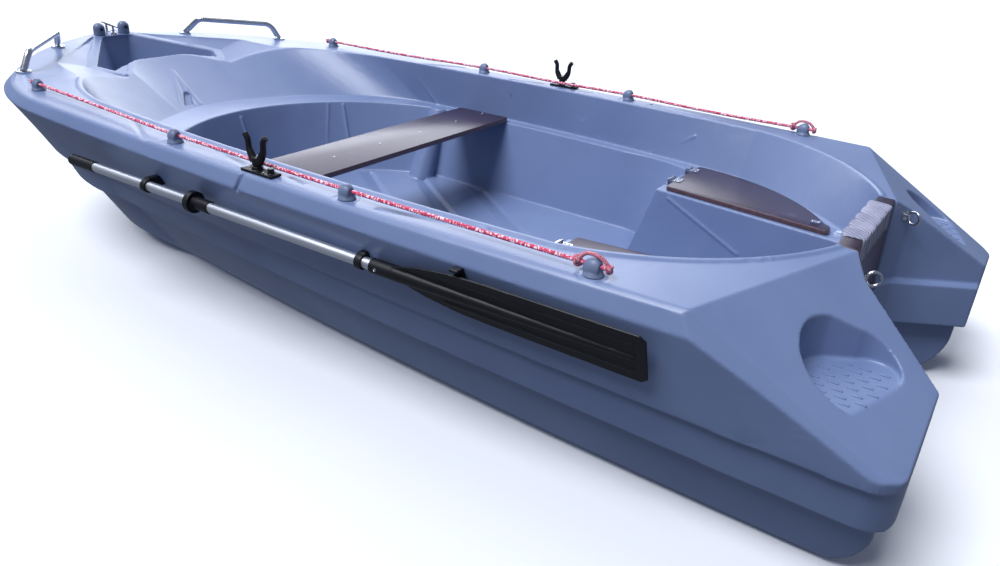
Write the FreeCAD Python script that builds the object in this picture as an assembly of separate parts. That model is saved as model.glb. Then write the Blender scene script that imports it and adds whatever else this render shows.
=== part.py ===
# Moulded fishing dinghy with twin side keels, stern pontoons and a motor well.
# Frame: +X to the bow, +Y to port, +Z up, z = 0 on the floor under the keels.
# Units: millimetres.
import FreeCAD, Part
import math
import os

V = FreeCAD.Vector
os.makedirs("parts", exist_ok=True)

# overall sizes; pieces at the stern are placed from STERN
HALF_LENGTH = 1800.0
STERN = -HALF_LENGTH
STERN_CUT = STERN + 0.3
STERN_ROUND = 70.0
BEHIND = STERN - 100.0
OUTSIDE = 900.0
DECK_Z = 572.0
DECK_RISE = 5.0
LEDGE_Z = 415.0
FLOOR_Z = 138.0
ABOVE = 760.0
BELOW = -20.0
SEAT = 0.3

# Plan outlines of the outer skin, one level per row:
# z at midships, rise per metre, stern half width, middle (x, y),
# shoulder (x, y), bow quarter (x, y), stem corner (x, y), stem x
LEVELS = {
    "crown": (612.0, 5.0, 718.0, (-400, 781), (950, 749), (1390, 566), (1720, 160), 1770),
    "deck": (572.0, 5.0, 735.0, (-400, 798), (950, 766), (1400, 578), (1735, 165), 1786),
    "rail": (564.0, 5.5, 748.0, (-400, 808), (950, 777), (1404, 594), (1744, 168), 1794),
    "band": (530.0, 10.0, 768.0, (-400, 823), (950, 796), (1408, 626), (1752, 172), 1799.7),
    "side": (330.0, 18.0, 735.0, (-400, 738), (760, 692), (1250, 585), (1600, 170), 1640),
    "lap1": (330.0, 18.0, 722.0, (-400, 725), (755, 678), (1238, 572), (1585, 165), 1624),
    "line": (222.0, 24.0, 692.0, (-400, 690), (740, 636), (1130, 575), (1500, 170), 1545),
    "lap2": (222.0, 24.0, 666.0, (-400, 666), (735, 612), (1114, 553), (1475, 160), 1517),
    "keel": (52.0, 20.0, 606.0, (-400, 590), (640, 514), (1070, 452), (1360, 130), 1392),
    "foot": (0.0, 0.0, 566.0, (-400, 540), (560, 455), (850, 385), (1080, 100), 1105),
}


def tilted(shape, z, rise):
    """Lift a flat outline to height z with a rise of so many mm per metre."""
    out = shape.copy()
    out.rotate(V(0, 0, 0), V(0, 1, 0), -math.degrees(math.atan(rise / 1000.0)))
    out.translate(V(0, 0, z))
    return out


def arc(a, b, c):
    return Part.Arc(V(a[0], a[1], 0), V(b[0], b[1], 0), V(c[0], c[1], 0)).toShape()


def line(a, b):
    return Part.makeLine(V(a[0], a[1], 0), V(b[0], b[1], 0))


def flip(p):
    return (p[0], -p[1])


def corner_mid(p, centre, radius):
    """Point of a round corner between its two ends."""
    diagonal = radius / math.sqrt(2.0)
    return (centre[0] - diagonal, centre[1] + diagonal)


def outline(stern_y, mid, shoulder, quarter, corner, stem_x):
    """Closed outline: stern edge, round corners, side, bow quarter and stem arcs."""
    end = (-HALF_LENGTH, stern_y - STERN_ROUND)
    start = (-HALF_LENGTH + STERN_ROUND, stern_y)
    turn = corner_mid(start, (start[0], end[1]), STERN_ROUND)
    stem = (stem_x, 0)
    edges = [
        line(flip(end), end),
        arc(end, turn, start),
        arc(start, mid, shoulder),
        arc(shoulder, quarter, corner),
        arc(corner, stem, flip(corner)),
        arc(flip(corner), flip(quarter), flip(shoulder)),
        arc(flip(shoulder), flip(mid), flip(start)),
        arc(flip(start), flip(turn), flip(end)),
    ]
    return Part.Wire(edges)


def level(name):
    z, rise, stern_y, mid, shoulder, quarter, corner, stem_x = LEVELS[name]
    return tilted(outline(stern_y, mid, shoulder, quarter, corner, stem_x), z, rise)


def skin(*names):
    """Solid between successive outlines, walls ruled straight."""
    solid = None
    for low, high in zip(names[:-1], names[1:]):
        piece = Part.makeLoft([level(low), level(high)], True, True)
        solid = piece if solid is None else solid.fuse(piece)
    return solid


def loop(points):
    pts = [V(*p) for p in points]
    return Part.makePolygon(pts + [pts[0]])


def prism(points, z0, z1):
    """Upright prism over a plan polygon."""
    face = Part.Face(loop([(x, y, z0) for x, y in points]))
    return face.extrude(V(0, 0, z1 - z0))


def mirrored(shape):
    return shape.mirror(V(0, 0, 0), V(0, 1, 0))


def box(x0, x1, y0, y1, z0, z1):
    return Part.makeBox(x1 - x0, y1 - y0, z1 - z0, V(x0, y0, z0))


def cyl(base, direction, radius, height):
    return Part.makeCylinder(radius, height, V(*base), V(*direction))


def write(name, shape):
    shape.exportStep("parts/%s.step" % name)


def both(name, port_shape):
    """Write a port piece and its mirror image."""
    write(name + "_port", port_shape)
    write(name + "_starboard", mirrored(port_shape))


def slope_through(p, q, r):
    """Height function of the plane through three points."""
    n = (V(*q) - V(*p)).cross(V(*r) - V(*p))

    def height(x, y):
        return p[2] - (n.x * (x - p[0]) + n.y * (y - p[1])) / n.z

    return height


def above_slope(points, height, reach):
    """Block over a plan polygon that starts on a sloping plane."""
    face = Part.Face(loop([(x, y, height(x, y)) for x, y in points]))
    return face.extrude(V(0, 0, reach))


def deck_height(x):
    return DECK_Z + DECK_RISE * x / 1000.0


# outer skin in three strakes
upper = skin("side", "band", "rail", "deck")
middle = skin("line", "lap1")
lower = skin("foot", "keel", "lap2")
body = upper.fuse([middle, lower])

# sheer of the foredeck: rises to the stem from the forward shoulders
SHEER_X = 1200.0
SHEER_Z = deck_height(SHEER_X)
TIP_Z = 615.0


def sheer_height(x, y=0.0):
    return SHEER_Z + (TIP_Z - SHEER_Z) * (x - SHEER_X) / (HALF_LENGTH - SHEER_X)


foredeck = skin("deck", "crown").common(box(SHEER_X, HALF_LENGTH, -800, 800, 500, ABOVE))
over_sheer = above_slope([(SHEER_X - 10, -800), (1900, -800), (1900, 800), (SHEER_X - 10, 800)], sheer_height, 200)
body = body.fuse(foredeck.cut(over_sheer))

# raised centre of the foredeck, sinking towards the cockpit
CREASE_TIP = (1768.0, 44.0)
CREASE_END = (1385.0, 330.0)
PLATEAU_AFT = (1250.0, 232.0)
PLATEAU_RISE = 0.187
PLATEAU_Z = 532.0


def plateau_height(x, y=0.0):
    return PLATEAU_Z + PLATEAU_RISE * (x - 1258.0)


plateau_plan = [CREASE_TIP, CREASE_END, PLATEAU_AFT, flip(PLATEAU_AFT), flip(CREASE_END), flip(CREASE_TIP)]
raised = prism(plateau_plan, 540, ABOVE)
over_plateau = above_slope(plateau_plan, plateau_height, 240)
body = body.fuse(raised.cut(over_plateau)).cut(over_plateau)

# cockpit outlines: stern corner, quarter, side start, side, shoulder, bow quarter, bow corner, tip
TRANSOM_X = (STERN + 250.7, STERN + 295.7)
INSIDE_X = TRANSOM_X[1]
RIM = ((INSIDE_X, 240), (-1345, 480), (-1020, 664), (-250, 690), (700, 650), (1062, 512), (1330, 210), 1422)
LEDGE_OUT = ((INSIDE_X, 206), (-1330, 388), (-1010, 588), (-300, 672), (480, 668), (840, 462), (1010, 180), 1045)
LEDGE_IN = ((-838, 560), (-742, 597), (-560, 610), (-100, 640), (330, 640), (660, 476), (850, 190), 882)
FLOOR = ((-755, 480), (-700, 524), (-600, 545), (-150, 551), (270, 560), (570, 410), (745, 165), 775)
RIM_Z = 571.0
WALL_TOP_Z = 640.0


def tub(row):
    """Cockpit outline: stern edge, quarter, side, bow quarter and stem arcs."""
    a, b, c, d, e, f, g, tip = row
    half = [arc(a, b, c), arc(c, d, e), arc(e, f, g)]
    other = [
        arc(flip(g), flip(f), flip(e)),
        arc(flip(e), flip(d), flip(c)),
        arc(flip(c), flip(b), flip(a)),
    ]
    return Part.Wire([line(flip(a), a)] + half + [arc(g, (tip, 0), flip(g))] + other)


def raised_to(wire, z):
    return tilted(wire, z, 0.0)


def carried_on(low_row, high_row, z0, z1, z2):
    """Outline row at z2 on the slope from the row at z0 to the row at z1."""
    t = (z2 - z0) / (z1 - z0)
    row = [(a[0] + (b[0] - a[0]) * t, a[1] + (b[1] - a[1]) * t) for a, b in zip(low_row[:-1], high_row[:-1])]
    return row + [low_row[-1] + (high_row[-1] - low_row[-1]) * t]


def walled(widen):
    """Space inside the upper cockpit walls, set outwards by so many mm."""
    wires = [tub(LEDGE_OUT), tub(carried_on(LEDGE_OUT, RIM, LEDGE_Z, RIM_Z, WALL_TOP_Z))]
    if widen:
        wires = [w.makeOffset2D(widen, 2) for w in wires]
    return Part.makeLoft([raised_to(wires[0], LEDGE_Z), raised_to(wires[1], WALL_TOP_Z)], True, True)


# ramps from the shoulders down to the plateau edge and the cockpit rim
RAMP_OUT = (1385.0, 435.0)
ramp_fore = slope_through((1790, 50, 612), (1385, 330, 560), (1385, 435, 587))
ramp_aft = slope_through((760, 645, 575.8), (1385, 435, 587), (1150, 365, 545))
ramps = [
    above_slope([CREASE_TIP, CREASE_END, RAMP_OUT], ramp_fore, 240),
    above_slope([CREASE_END, RAMP_OUT, (900, 700), (900, 500), PLATEAU_AFT], ramp_aft, 240),
]
ramps += [mirrored(r) for r in ramps]
body = body.cut(ramps)

# raised lip round the cockpit, a low step above the deck and its slopes
LIP_WIDE = 14.0
LIP_RISE = 6.0


def lifted(shape, by):
    out = shape.copy()
    out.translate(V(0, 0, by))
    return out


deck_plan = [(BEHIND, -OUTSIDE), (HALF_LENGTH, -OUTSIDE), (HALF_LENGTH, OUTSIDE), (BEHIND, OUTSIDE)]
over_deck = above_slope(deck_plan, lambda x, y: deck_height(x), 300)
over_lip = [lifted(s, LIP_RISE) for s in [over_deck, over_plateau] + ramps]
body = body.fuse(walled(LIP_WIDE).cut(over_lip))

# slanting stiffening grooves across the side decks: inner end, outer end, width, depth
DECK_GROOVES = (
    ((508.0, 693.0), (262.0, 812.0), 26.0, 5.0),
    ((60.0, 724.0), (-104.0, 764.0), 24.0, 4.0),
    ((-258.0, 748.0), (-330.0, 766.0), 20.0, 3.5),
    ((-858.0, 696.0), (-572.0, 768.0), 26.0, 5.0),
)


def groove(p, q, width, depth, seat):
    """V-shaped cutter between two points on a surface of height seat(x)."""
    ends = []
    way = V(q[0] - p[0], q[1] - p[1], 0)
    way.normalize()
    side = V(-way.y, way.x, 0) * (width / 2.0)
    for x, y in (p, q):
        middle = V(x, y, seat(x))
        top = V(0, 0, depth)
        ends.append(Part.makePolygon([middle - top, middle + side, middle + side + top, middle - side + top,
                                      middle - side, middle - top]))
    return Part.makeLoft(ends, True, True)


deck_grooves = [groove(p, q, w, d, deck_height) for p, q, w, d in DECK_GROOVES]
body = body.cut(deck_grooves + [mirrored(g) for g in deck_grooves])

# motor well between the stern pontoons
WELL_X = STERN + 242.0
WELL_Y = 232.0
WELL_SIDE = ((STERN + 208.0, 292.0), (STERN + 10.0, 410.0))
LAP_IN = 28.0
UNDER_OUT = 20.0
INNER_LEDGE_Z = 318.0
INNER_LINE_Z = 190.0


def well_plan(inset):
    (xa, ya), (xb, yb) = WELL_SIDE
    aft = yb + (xb - BEHIND) * (yb - ya) / (xa - xb)
    half = [(WELL_X, WELL_Y - inset), (xa, ya - inset), (BEHIND, aft - inset)]
    return [flip(p) for p in reversed(half)] + half


body = body.cut(prism(well_plan(0), INNER_LEDGE_Z, ABOVE))
body = body.cut(prism(well_plan(LAP_IN), INNER_LINE_Z, ABOVE))
body = body.cut(prism(well_plan(-UNDER_OUT), 2 * BELOW, INNER_LINE_Z))

# sloping tail facet and the chamfer that carries the band down its outer edge
TAIL_VERTEX = (STERN + 431, 761, 565)
TAIL_LOW = (STERN + 16, 722, 325)
facet = slope_through(TAIL_VERTEX, (WELL_X, WELL_Y, 560), TAIL_LOW)
chamfer = slope_through(TAIL_VERTEX, (STERN + 449, 806, 518), TAIL_LOW)
tail_plan = [(BEHIND, 0), (STERN + 550, 0), (STERN + 550, OUTSIDE), (BEHIND, OUTSIDE)]
edge_plan = [(BEHIND, 600), (STERN + 490, 600), (STERN + 490, OUTSIDE), (BEHIND, OUTSIDE)]
tail_cut = above_slope(tail_plan, facet, 600)
edge_cut = above_slope(edge_plan, chamfer, 900)
body = body.cut([tail_cut, mirrored(tail_cut), edge_cut, mirrored(edge_cut)])

# rounded heel of the keels, and the small round under the middle strake
HEEL = ((STERN + 150, 0), (STERN + 65, 47), (STERN + 34, 192))
TOE = ((STERN + 28, 174), (STERN + 4, 186), (STERN - 1, 222))


def heel_cut(points):
    """Prism across the boat behind an arc in the side view."""
    a, b, c = [V(x, -OUTSIDE, z) for x, z in points]
    low = V(BEHIND, -OUTSIDE, a.z + 3 * BELOW)
    start = V(a.x, -OUTSIDE, low.z)
    high = V(BEHIND, -OUTSIDE, c.z)
    edges = [Part.makeLine(low, start), Part.makeLine(start, a), Part.Arc(a, b, c).toShape()]
    edges += [Part.makeLine(c, high), Part.makeLine(high, low)]
    return Part.Face(Part.Wire(edges)).extrude(V(0, 2 * OUTSIDE, 0))


tunnel_out = box(BEHIND, STERN + 200, -OUTSIDE, OUTSIDE, 3 * BELOW, 178)
body = body.cut(heel_cut(HEEL).common(tunnel_out))
body = body.cut(heel_cut(TOE))
body = body.cut(box(BEHIND, STERN_CUT, -OUTSIDE, OUTSIDE, 3 * BELOW, ABOVE))

# shallow tunnel between the side keels: x, half width on the floor, half width above
TUNNEL = ((BEHIND, 330, 250), (980, 190, 120))
TUNNEL_Z = 92.0
sections = []
for x, low, high in TUNNEL:
    sections.append(loop([(x, -low, BELOW), (x, -high, TUNNEL_Z), (x, high, TUNNEL_Z), (x, low, BELOW)]))
body = body.cut(Part.makeLoft(sections, True, True))

# cockpit: upper walls, footwell and the passage between the rear box seats
walls = walled(0)
floor = Part.makeLoft([raised_to(tub(FLOOR), FLOOR_Z), raised_to(tub(LEDGE_IN), LEDGE_Z)], True, True)

# passage: x, half width at the floor, half width at the seat tops
SEAT_INNER = ((INSIDE_X, 186, 204), (-600, 286, 312))
passage = []
for z, pick in ((FLOOR_Z, 1), (LEDGE_Z, 2)):
    (xa, *ya), (xb, *yb) = SEAT_INNER
    wa = ya[pick - 1]
    wb = yb[pick - 1]
    passage.append(loop([(xa, -wa, z), (xb, -wb, z), (xb, wb, z), (xa, wa, z)]))
between_seats = Part.makeLoft(passage, True, True)
body = body.cut([walls, floor, between_seats])

# chevron grooves across the cockpit floor, pointing aft: x of each tip on the centreline
CHEVRONS = (62.0, -288.0, -634.0)
CHEVRON_SWEEP = 1.4
CHEVRON_LONG = 112.0
CHEVRON_FLAT = 84.0
CHEVRON_DEEP = 10.0
PANEL = ((-742, 464), (-688, 508), (-592, 530), (-150, 536), (260, 545), (556, 398), (730, 158), 760)


def chevron_arm(tip):
    """Groove that slopes down gently and rises steeply, from the centreline to port."""
    ends = []
    for y in (-0.5, 700.0):
        x = tip + CHEVRON_SWEEP * y
        ends.append(loop([(x, y, FLOOR_Z), (x - CHEVRON_FLAT, y, FLOOR_Z - CHEVRON_DEEP),
                          (x - CHEVRON_LONG, y, FLOOR_Z), (x - CHEVRON_LONG, y, FLOOR_Z + 5), (x, y, FLOOR_Z + 5)]))
    return Part.makeLoft(ends, True, True)


panel = Part.Face(raised_to(tub(PANEL), FLOOR_Z - 20)).extrude(V(0, 0, 30))
for tip in CHEVRONS:
    arm = chevron_arm(tip)
    body = body.cut([arm.common(panel), mirrored(arm).common(panel)])

# rounded buttresses under the side ledges, just forward of the thwart
BUTTRESS_FOOT = (350.0, 520.0, 56.0)
BUTTRESS_TOP = (350.0, 648.0, 40.0)


def buttress():
    rings = []
    for (x, y, r), z in ((BUTTRESS_FOOT, FLOOR_Z), (BUTTRESS_TOP, LEDGE_Z)):
        rings.append(Part.Wire([Part.makeCircle(r, V(x, y, z))]))
    return Part.makeLoft(rings, True, True)


body = body.fuse([buttress(), mirrored(buttress())])

# slender ridges moulded on the walls: two ends and radius, port side first, then mirrored
RIDGES = (
    ((523, 668, 551), (388, 674, 417), 5.0),
    ((-643, 645, 417), (-735, 649, 462), 4.5),
    ((-735, 649, 462), (-808, 655, 512), 4.5),
    ((-886, 277, 396), (-1154, 237, 285), 5.0),
    ((752, 373, 409), (700, 300, 190), 5.0),
    ((710, 420, 405), (648, 388, 240), 5.0),
)


def ridge(p, q, r):
    a, b = V(*p), V(*q)
    return Part.makeCylinder(r, (b - a).Length, a, b - a)


ridges = [ridge(*row) for row in RIDGES]
body = body.fuse(ridges + [mirrored(r) for r in ridges] + [ridge((872, 0, 392), (812, 0, 232), 5.0)])

# splayed foot brace on the forward wall: two legs each side of a recess
BRACE_HEAD = (1290.0, 4.0, 516.0)
BRACE_LEGS = ((1041.0, 158.0, 420.0), (1050.0, 130.0, 420.0), (1056.0, 80.0, 420.0), (1058.0, 52.0, 420.0))
BRACE_R = 5.0
BRACE_CUT = ((1146, 62, 462), (1134, 40, 462), (1062, 84, 420), (1056, 126, 420))
body = body.fuse([ridge(BRACE_HEAD, foot, BRACE_R) for foot in BRACE_LEGS])
brace_slope = slope_through(*[BRACE_CUT[i] for i in (0, 2, 3)])
recess = above_slope([(x, y) for x, y, z in BRACE_CUT], lambda x, y: brace_slope(x, y) - 12.0, 60)
body = body.cut(recess)

# stowage well in the foredeck, narrow at the front
WELL_FLOOR_Z = 458.0
WELL_TOP = ((1690, 62), (1380, 303), (1300, 272))
WELL_BASE = ((1655, 40), (1395, 240), (1340, 215))
WELL_AFT = (1384.0, 1415.0)


def bow_well_outline(points, aft, z):
    front, corner, heel = points
    edges = [
        line(flip(front), front),
        line(front, corner),
        line(corner, heel),
        arc(heel, (aft, 0), flip(heel)),
        line(flip(heel), flip(corner)),
        line(flip(corner), flip(front)),
    ]
    return raised_to(Part.Wire(edges), z)


bow_well = Part.makeLoft([
    bow_well_outline(WELL_BASE, WELL_AFT[1], WELL_FLOOR_Z),
    bow_well_outline(WELL_TOP, WELL_AFT[0], ABOVE - 150),
], True, True)
body = body.cut(bow_well)

# step recess in each tail facet with a level tread
TREAD_Z = 403.0
step_edges = [
    arc((255, 604), (263, 545), (229, 472)),
    line((229, 472), (171, 438)),
    arc((171, 438), (94, 432), (69, 485)),
    line((69, 485), (108, 634)),
    arc((108, 634), (123, 658), (148, 668)),
    arc((148, 668), (210, 660), (255, 604)),
]
step = Part.Face(Part.Wire(step_edges)).extrude(V(0, 0, ABOVE - TREAD_Z))
step.translate(V(STERN, 0, TREAD_Z))
body = body.cut([step, mirrored(step)])

# seat for the transom board between the stern corners
BOARD_TOP = 566.0
BOARD_FOOT = 300.0
BOARD_HALF = 226.0
body = body.cut(box(WELL_X - 2, TRANSOM_X[1] + SEAT, -BOARD_HALF - SEAT, BOARD_HALF + SEAT, BOARD_FOOT - SEAT, ABOVE))
hull = body.removeSplitter()
write("hull", hull)

# midships thwart
THWART_X = (0, 245)
THWART_HALF = 655.0
THWART_THICK = 18.0
PLY_CORNER = 12.0
thwart = box(THWART_X[0], THWART_X[1], -THWART_HALF, THWART_HALF, LEDGE_Z, LEDGE_Z + THWART_THICK)
thwart = thwart.makeFillet(PLY_CORNER, [e for e in thwart.Edges if abs(e.tangentAt(0).z) > 0.9])
write("thwart", thwart)

# lids of the rear box seats, hinged at their front edge
LID_FRONT = -868.0
LID_THICK = 15.0
LID_TOP = LEDGE_Z + LID_THICK
lid_edges = [
    line((LID_FRONT, 300), (LID_FRONT, 562)),
    arc((LID_FRONT, 562), (-872, 572), (-884, 575)),
    arc((-884, 575), (-1150, 500), (-1374, 292)),
    arc((-1374, 292), (-1399, 256), (-1392, 234)),
    line((-1392, 234), (-884, 290)),
    arc((-884, 290), (-872, 292), (LID_FRONT, 300)),
]
lid = Part.Face(Part.Wire(lid_edges)).extrude(V(0, 0, LID_THICK))
lid.translate(V(0, 0, LEDGE_Z))
both("seat_lid", lid)

# lid hinges: lower leaves on the seat, upper leaves and barrels on the lid
HINGE_R = 4.0
HINGE_HALF = 20.0
HINGE_X = LID_FRONT + 12.0
HINGE_Z = LID_TOP + 5.0
HINGE_Y = (371.0, 518.0)
LEAF_THICK = 2.2
LEAF_LONG = 34.0
lid_leaves = []
seat_leaves = []
for y in HINGE_Y:
    barrel = cyl((HINGE_X, y - HINGE_HALF, HINGE_Z), (0, 1, 0), HINGE_R, 2 * HINGE_HALF)
    leaf = box(HINGE_X - LEAF_LONG, HINGE_X, y - HINGE_HALF, y + HINGE_HALF, LID_TOP, LID_TOP + LEAF_THICK)
    lid_leaves.append(barrel.fuse(leaf))
    foot = box(HINGE_X + 6, HINGE_X + 15, y - HINGE_HALF, y + HINGE_HALF, LEDGE_Z, LEDGE_Z + LEAF_THICK)
    post = box(HINGE_X + 6, HINGE_X + 9, y - HINGE_HALF, y + HINGE_HALF, LEDGE_Z, HINGE_Z)
    seat_leaves.append(foot.fuse(post))
both("lid_hinges", Part.makeCompound(lid_leaves))
both("hinge_brackets", Part.makeCompound(seat_leaves))
CATCH = (-1366.0, 258.0, 26.0, 20.0, 9.0)
catch = box(CATCH[0], CATCH[0] + CATCH[2], CATCH[1], CATCH[1] + CATCH[3], LID_TOP, LID_TOP + CATCH[4])
both("lid_catch", catch)

# transom board with a wound pad over its top edge
PAD_HALF = 160.0
PAD_THICK = 9.0
PAD_DEEP = 55.0
board = box(TRANSOM_X[0], TRANSOM_X[1], -BOARD_HALF, BOARD_HALF, BOARD_FOOT, BOARD_TOP)
write("transom_board", board)
pad = box(TRANSOM_X[0] - PAD_THICK, TRANSOM_X[1] + PAD_THICK, -PAD_HALF, PAD_HALF,
          BOARD_TOP - PAD_DEEP, BOARD_TOP + PAD_THICK)
pad = pad.cut(box(TRANSOM_X[0], TRANSOM_X[1], -PAD_HALF - 5, PAD_HALF + 5, 0, BOARD_TOP))
write("transom_pad", pad)


def tube(points, radius, bend):
    """Round bar through points: straight runs joined by tangent arcs."""
    pts = [V(*p) for p in points]
    pieces = []
    start = pts[0]
    for a, b, c in zip(pts[:-2], pts[1:-1], pts[2:]):
        u = a - b
        v = c - b
        shorter = min(u.Length, v.Length)
        u.normalize()
        v.normalize()
        half_turn = (math.pi - u.getAngle(v)) / 2.0
        r = min(bend, 0.45 * shorter / math.tan(half_turn))
        reach = r * math.tan(half_turn)
        p = b + u * reach
        q = b + v * reach
        middle_way = u + v
        middle_way.normalize()
        centre = b + middle_way * (r / math.cos(half_turn))
        pieces.append(Part.makeCylinder(radius, (p - start).Length, start, p - start))
        disc = Part.Face(Part.Wire([Part.makeCircle(radius, p, u)]))
        axis = v.cross(u)
        pieces.append(disc.revolve(centre, axis, math.degrees(2.0 * half_turn)))
        start = q
    pieces.append(Part.makeCylinder(radius, (pts[-1] - start).Length, start, pts[-1] - start))
    return pieces[0].fuse(pieces[1:])


# towing eyes on the inner pontoon walls, just behind the transom
EYE_BAR = 3.5
EYE_R = 17.0
EYE_X = WELL_X - 20.0
EYE_Z = 517.0
(wall_xa, wall_ya) = (WELL_X, WELL_Y)
(wall_xb, wall_yb) = WELL_SIDE[0]
wall_dir = V(wall_xb - wall_xa, wall_yb - wall_ya, 0)
wall_dir.normalize()
wall_out = V(wall_dir.y, -wall_dir.x, 0)
if wall_out.x > 0:
    wall_out = wall_out * -1
wall_point = V(EYE_X, wall_ya + (wall_xa - EYE_X) * (wall_yb - wall_ya) / (wall_xa - wall_xb), EYE_Z)
plate = Part.makeCylinder(14, 3, wall_point + wall_out * SEAT, wall_out)
stud = Part.makeCylinder(5, 14, wall_point + wall_out * SEAT, wall_out)
ring = Part.makeTorus(EYE_R, EYE_BAR, wall_point + wall_out * (12 + EYE_R), wall_dir)
both("towing_eye", plate.fuse([stud, ring]))

# bow handles on round flanges
TUBE_R = 12.0
FLANGE_R = 26.0
FLANGE_THICK = 5.0
HANDLE_BEND = 45.0
HANDLE_FEET = ((1311.0, 605.0), (1612.0, 304.0))
HANDLE_TOPS = ((1323.0, 566.0, 656.0), (1543.0, 336.0, 672.0))


def flange(x, y):
    up = V(-(TIP_Z - SHEER_Z) / (HALF_LENGTH - SHEER_X), 0, 1)
    up.normalize()
    seat = V(x, y, sheer_height(x)) + up * SEAT
    return Part.makeCylinder(FLANGE_R, FLANGE_THICK, seat, up)


def handle():
    feet = [(x, y, sheer_height(x) + 3) for x, y in HANDLE_FEET]
    bar = tube([feet[0], HANDLE_TOPS[0], HANDLE_TOPS[1], feet[1]], TUBE_R, HANDLE_BEND)
    plates = [flange(x, y) for x, y in HANDLE_FEET]
    bar = bar.fuse(plates)
    low = above_slope([(1200, 200), (1800, 200), (1800, 720), (1200, 720)], lambda x, y: sheer_height(x) + SEAT, -60)
    return bar.cut(low)


both("bow_handle", handle())

# fairlead posts and horn cleat at the stem
FAIR_X = 1713.0
FAIR_Y = 58.0
FAIR_R = 24.0
FAIR_TOP = 667.0
CLEAT_X = 1724.0
CLEAT_LEGS = (CLEAT_X - 24.0, CLEAT_X + 26.0)
CLEAT_RISE = 34.0


def stem_seat():
    reach = 2.5 * FAIR_Y
    return [(FAIR_X - reach, -reach), (FAIR_X + reach, -reach), (FAIR_X + reach, reach), (FAIR_X - reach, reach)]


def fairlead(y):
    column = cyl((FAIR_X, y, 600), (0, 0, 1), FAIR_R, FAIR_TOP - FAIR_R - 600)
    dome = Part.makeSphere(FAIR_R, V(FAIR_X, y, FAIR_TOP - FAIR_R))
    post = column.fuse(dome)
    return post.cut(cyl((FAIR_X - 40, y, FAIR_TOP - 26), (1, 0, 0), 8, 80))


under_stem = above_slope(stem_seat(), lambda x, y: plateau_height(x) + SEAT, -90)
write("fairlead_posts", Part.makeCompound([fairlead(y).cut(under_stem) for y in (FAIR_Y, -FAIR_Y)]))
cleat_z = plateau_height(CLEAT_X)
cleat_legs = [cyl((x, 0, cleat_z - 12), (0, 0, 1), 7, CLEAT_RISE + 10) for x in CLEAT_LEGS]
cleat_feet = [cyl((x, 0, cleat_z - 12), (0, 0, 1), 13, 19) for x in CLEAT_LEGS]
cleat_bar = cyl((CLEAT_X - 60, 0, cleat_z + CLEAT_RISE - 6), (1, 0, 0.1), 6, 120)
write("bow_cleat", cleat_bar.fuse(cleat_legs + cleat_feet).cut(under_stem))

# lifeline eyes and the lines rove through them
EYES = ((1039.0, 697.0), (203.0, 757.0), (-478.0, 764.0), (-1153.0, 750.0))
EYE_W = 14.0
EYE_TALL = 38.0
EYE_TOP_R = 16.0
EYE_FOOT = (24.0, 18.0, 10.0)
EYE_HOLE_R = 7.0
ROPE_R = 5.0
ROPE_RISE = 21.0
ROPE_SAG = 5.0
ROPE_BOW = 10.0
KNOT_R = 12.0
TAIL = 34.0


def eye_seat(x):
    return deck_height(x) + DECK_RISE * EYE_FOOT[0] / 1000.0 + SEAT


def lug(x, y):
    z = eye_seat(x)
    foot = Part.makeCone(EYE_FOOT[0], EYE_FOOT[1], EYE_FOOT[2], V(x, y, z), V(0, 0, 1))
    wall = box(x - EYE_TOP_R, x + EYE_TOP_R, y - EYE_W / 2, y + EYE_W / 2, z, z + EYE_TALL - EYE_TOP_R)
    top = cyl((x, y - EYE_W / 2, z + EYE_TALL - EYE_TOP_R), (0, 1, 0), EYE_TOP_R, EYE_W)
    return foot.fuse([wall, top]).cut(cyl((x - 40, y, z + ROPE_RISE), (1, 0, 0), EYE_HOLE_R, 80))


both("lifeline_eyes", Part.makeCompound([lug(*e) for e in EYES]))
rope_pts = []
for (xa, ya), (xb, yb) in zip(EYES[:-1], EYES[1:]):
    xm = (xa + xb) / 2
    rope_pts.append((xa, ya, eye_seat(xa) + ROPE_RISE))
    rope_pts.append((xm, (ya + yb) / 2 - ROPE_BOW, eye_seat(xm) + ROPE_RISE - ROPE_SAG))
fore = rope_pts[0]
aft_eye = (EYES[-1][0], EYES[-1][1], eye_seat(EYES[-1][0]) + ROPE_RISE)
rope_pts = [(fore[0] + TAIL, fore[1] - 2, fore[2])] + rope_pts
rope_pts += [aft_eye, (aft_eye[0] - TAIL, aft_eye[1] - 1, aft_eye[2])]
knots = [Part.makeSphere(KNOT_R, V(*p), V(1, 0, 0)) for p in (rope_pts[0], rope_pts[-1])]
both("lifeline", tube(rope_pts, ROPE_R, 120).fuse(knots))

# rowlocks: base with socket and knob, and a turning fork
LOCK = (-171.0, 777.0)
LOCK_PIN_R = 6.5
LOCK_RUN = 0.5
LOCK_PLATE = (70.0, 45.0, 19.0, 7.0)
LOCK_BOSS = (15.0, 16.0)
LOCK_KNOB = (9.0, 52.0, 14.0)
FORK_R = 8.0
LOCK_SEAT = deck_height(LOCK[0]) + 1.0


def lock_base():
    x, y = LOCK
    plate_box = box(x - LOCK_PLATE[0], x + LOCK_PLATE[1], y - LOCK_PLATE[2], y + LOCK_PLATE[2],
                    LOCK_SEAT, LOCK_SEAT + LOCK_PLATE[3])
    boss = cyl((x, y, LOCK_SEAT), (0, 0, 1), *LOCK_BOSS)
    knob = cyl((x - LOCK_KNOB[1], y, LOCK_SEAT), (0, 0, 1), LOCK_KNOB[0], LOCK_PLATE[3] + LOCK_KNOB[2])
    bore = cyl((x, y, LOCK_SEAT - 5), (0, 0, 1), LOCK_PIN_R + LOCK_RUN, 40)
    return plate_box.fuse([boss, knob]).cut(bore)


# outline of the fork in its own plane: distance along, height above the seat
FORK = ((39, 97), (29, 84), (27, 52), (17, 31))


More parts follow.
